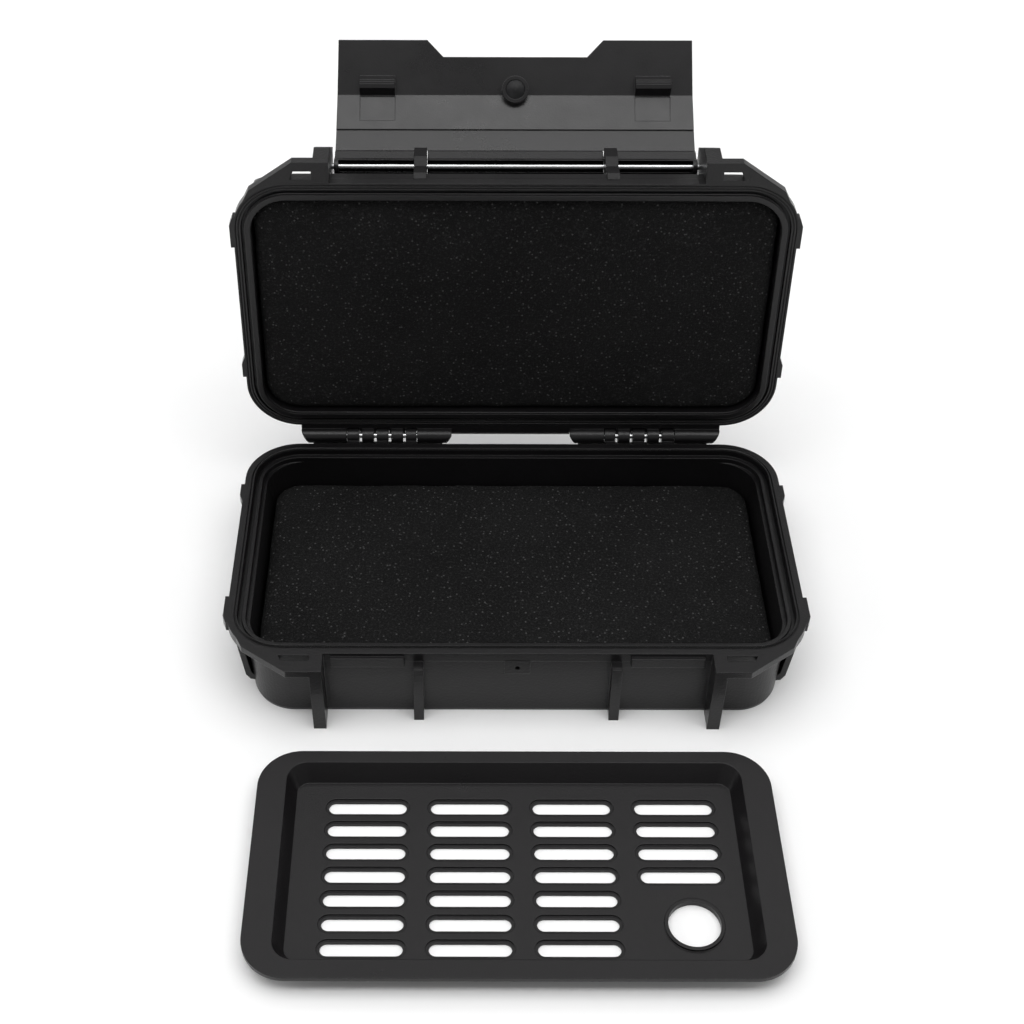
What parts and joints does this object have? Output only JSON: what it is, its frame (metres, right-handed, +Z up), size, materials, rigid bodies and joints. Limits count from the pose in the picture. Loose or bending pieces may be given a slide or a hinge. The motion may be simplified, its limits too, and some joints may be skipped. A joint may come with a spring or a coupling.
{
  "type": "hinged hard case with slotted tray",
  "caption": "Open hard-shell case with foam pads, pinned hinges, a latch flap with hooks on a steel rod, and a loose slotted tray.",
  "frame": {"origin": "centre of the base's flat bottom, on the floor", "axes": "+Z up, +X along the case's width, +Y towards the hinge; the tray lies in front, towards -Y"},
  "size_m": [0.243, 0.3345, 0.2044],
  "materials": {
    "shell_plastic": "fine leather-grain texture, satin",
    "foam": "open-cell foam, matt",
    "steel": "bright drawn wire",
    "rubber": "soft, semi-matt"
  },
  "bodies": {
    "base": {"base_shell": "shell_plastic", "base_foam": "foam"},
    "lid": {"lid_shell": "shell_plastic", "lid_foam": "foam", "rim_gasket": "rubber", "hinge_pin_left": "steel", "hinge_pin_right": "steel", "latch_rod": "steel"},
    "flap": {"latch_flap": "shell_plastic", "vent_plug": "rubber"},
    "tray": {"tray": "shell_plastic"}
  },
  "joints": [
    {"name": "lid_hinge", "type": "hinge", "parent": "base", "child": "lid", "pos_m": [0, 0.071, 0.035], "axis": [1, 0, 0], "range_deg": [0, 90.5]},
    {"name": "flap_hinge", "type": "hinge", "parent": "lid", "child": "flap", "pos_m": [0, 0.09514, 0.16549], "axis": [1, 0, 0], "range_deg": [0, 123.5]},
    {"name": "tray_lift", "type": "slide", "parent": "base", "child": "tray", "axis": [0, 0, 1], "range_m": [0, 0.06]}
  ]
}
